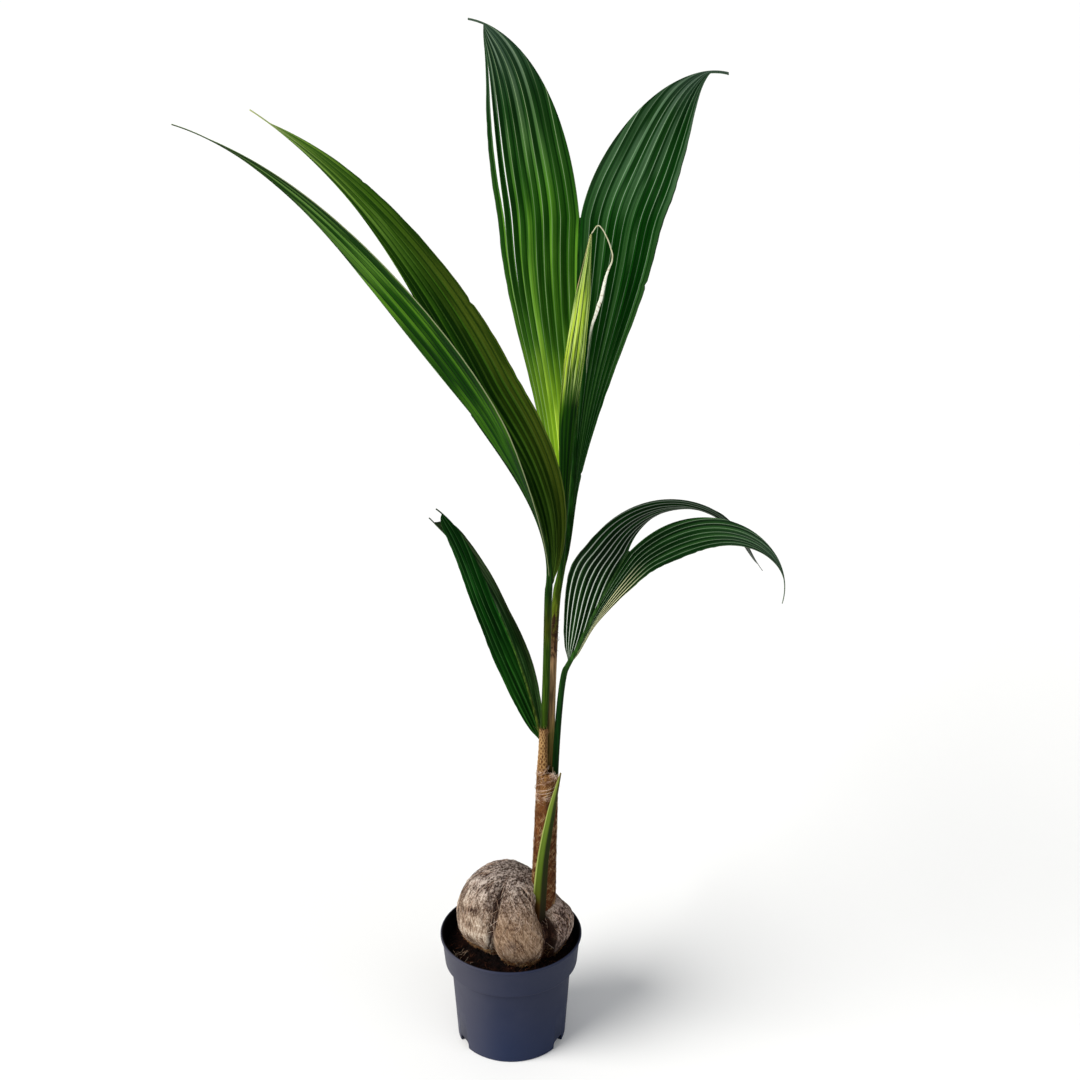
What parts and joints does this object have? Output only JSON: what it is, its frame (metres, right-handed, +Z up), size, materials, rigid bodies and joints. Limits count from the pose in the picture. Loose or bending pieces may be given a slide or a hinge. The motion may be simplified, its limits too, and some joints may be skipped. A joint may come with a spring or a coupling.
{
  "type": "potted coconut palm",
  "caption": "Young coconut palm sprouting from a nut half sunk in the soil of a round tapered nursery pot, with two-lobed leaves and an unopened spear leaf.",
  "frame": {"origin": "centre of the pot's flat underside, on the ground", "axes": "+Z up along the pot's axis; -Y is the front, the side that the husk's middle lobe and the two nearest leaf blades face; the long sweeping leaf leans towards -X and the arching leaf towards +X"},
  "size_m": [0.6438, 0.3576, 1.3247],
  "materials": {
    "pot": "dull dark blue-grey moulded plastic",
    "soil": "moist dark brown potting soil with coir fibres",
    "husk": "dry weathered fibrous husk, grey-beige",
    "fibre_sheath": "dry brown woven leaf-base fibre",
    "leaf_stalk": "smooth satin green stalk",
    "leaf_blade": "satin pleated green leaf",
    "young_leaf": "satin yellow-green unopened leaf",
    "dry_leaf": "dry straw-coloured leaf tissue"
  },
  "bodies": {
    "root": {"pot": "pot", "soil": "soil", "coconut_husk": "husk", "lower_sheath": "fibre_sheath", "upper_sheath": "fibre_sheath", "scale_leaf": "young_leaf", "tall_leaf_stalk": "leaf_stalk", "tall_leaf_left_blade": "leaf_blade", "tall_leaf_right_blade": "leaf_blade", "sweeping_leaf_stalk": "leaf_stalk", "sweeping_leaf_near_blade": "leaf_blade", "sweeping_leaf_far_blade": "leaf_blade", "arching_leaf_stalk": "leaf_stalk", "arching_leaf_back_blade": "leaf_blade", "arching_leaf_back_tip": "leaf_blade", "arching_leaf_front_blade": "leaf_blade", "arching_leaf_front_tip": "leaf_blade", "low_leaf_stalk": "leaf_stalk", "low_leaf_near_blade": "leaf_blade", "low_leaf_far_blade": "leaf_blade", "spear_leaf": "young_leaf", "dried_thread": "dry_leaf"}
  },
  "joints": []
}
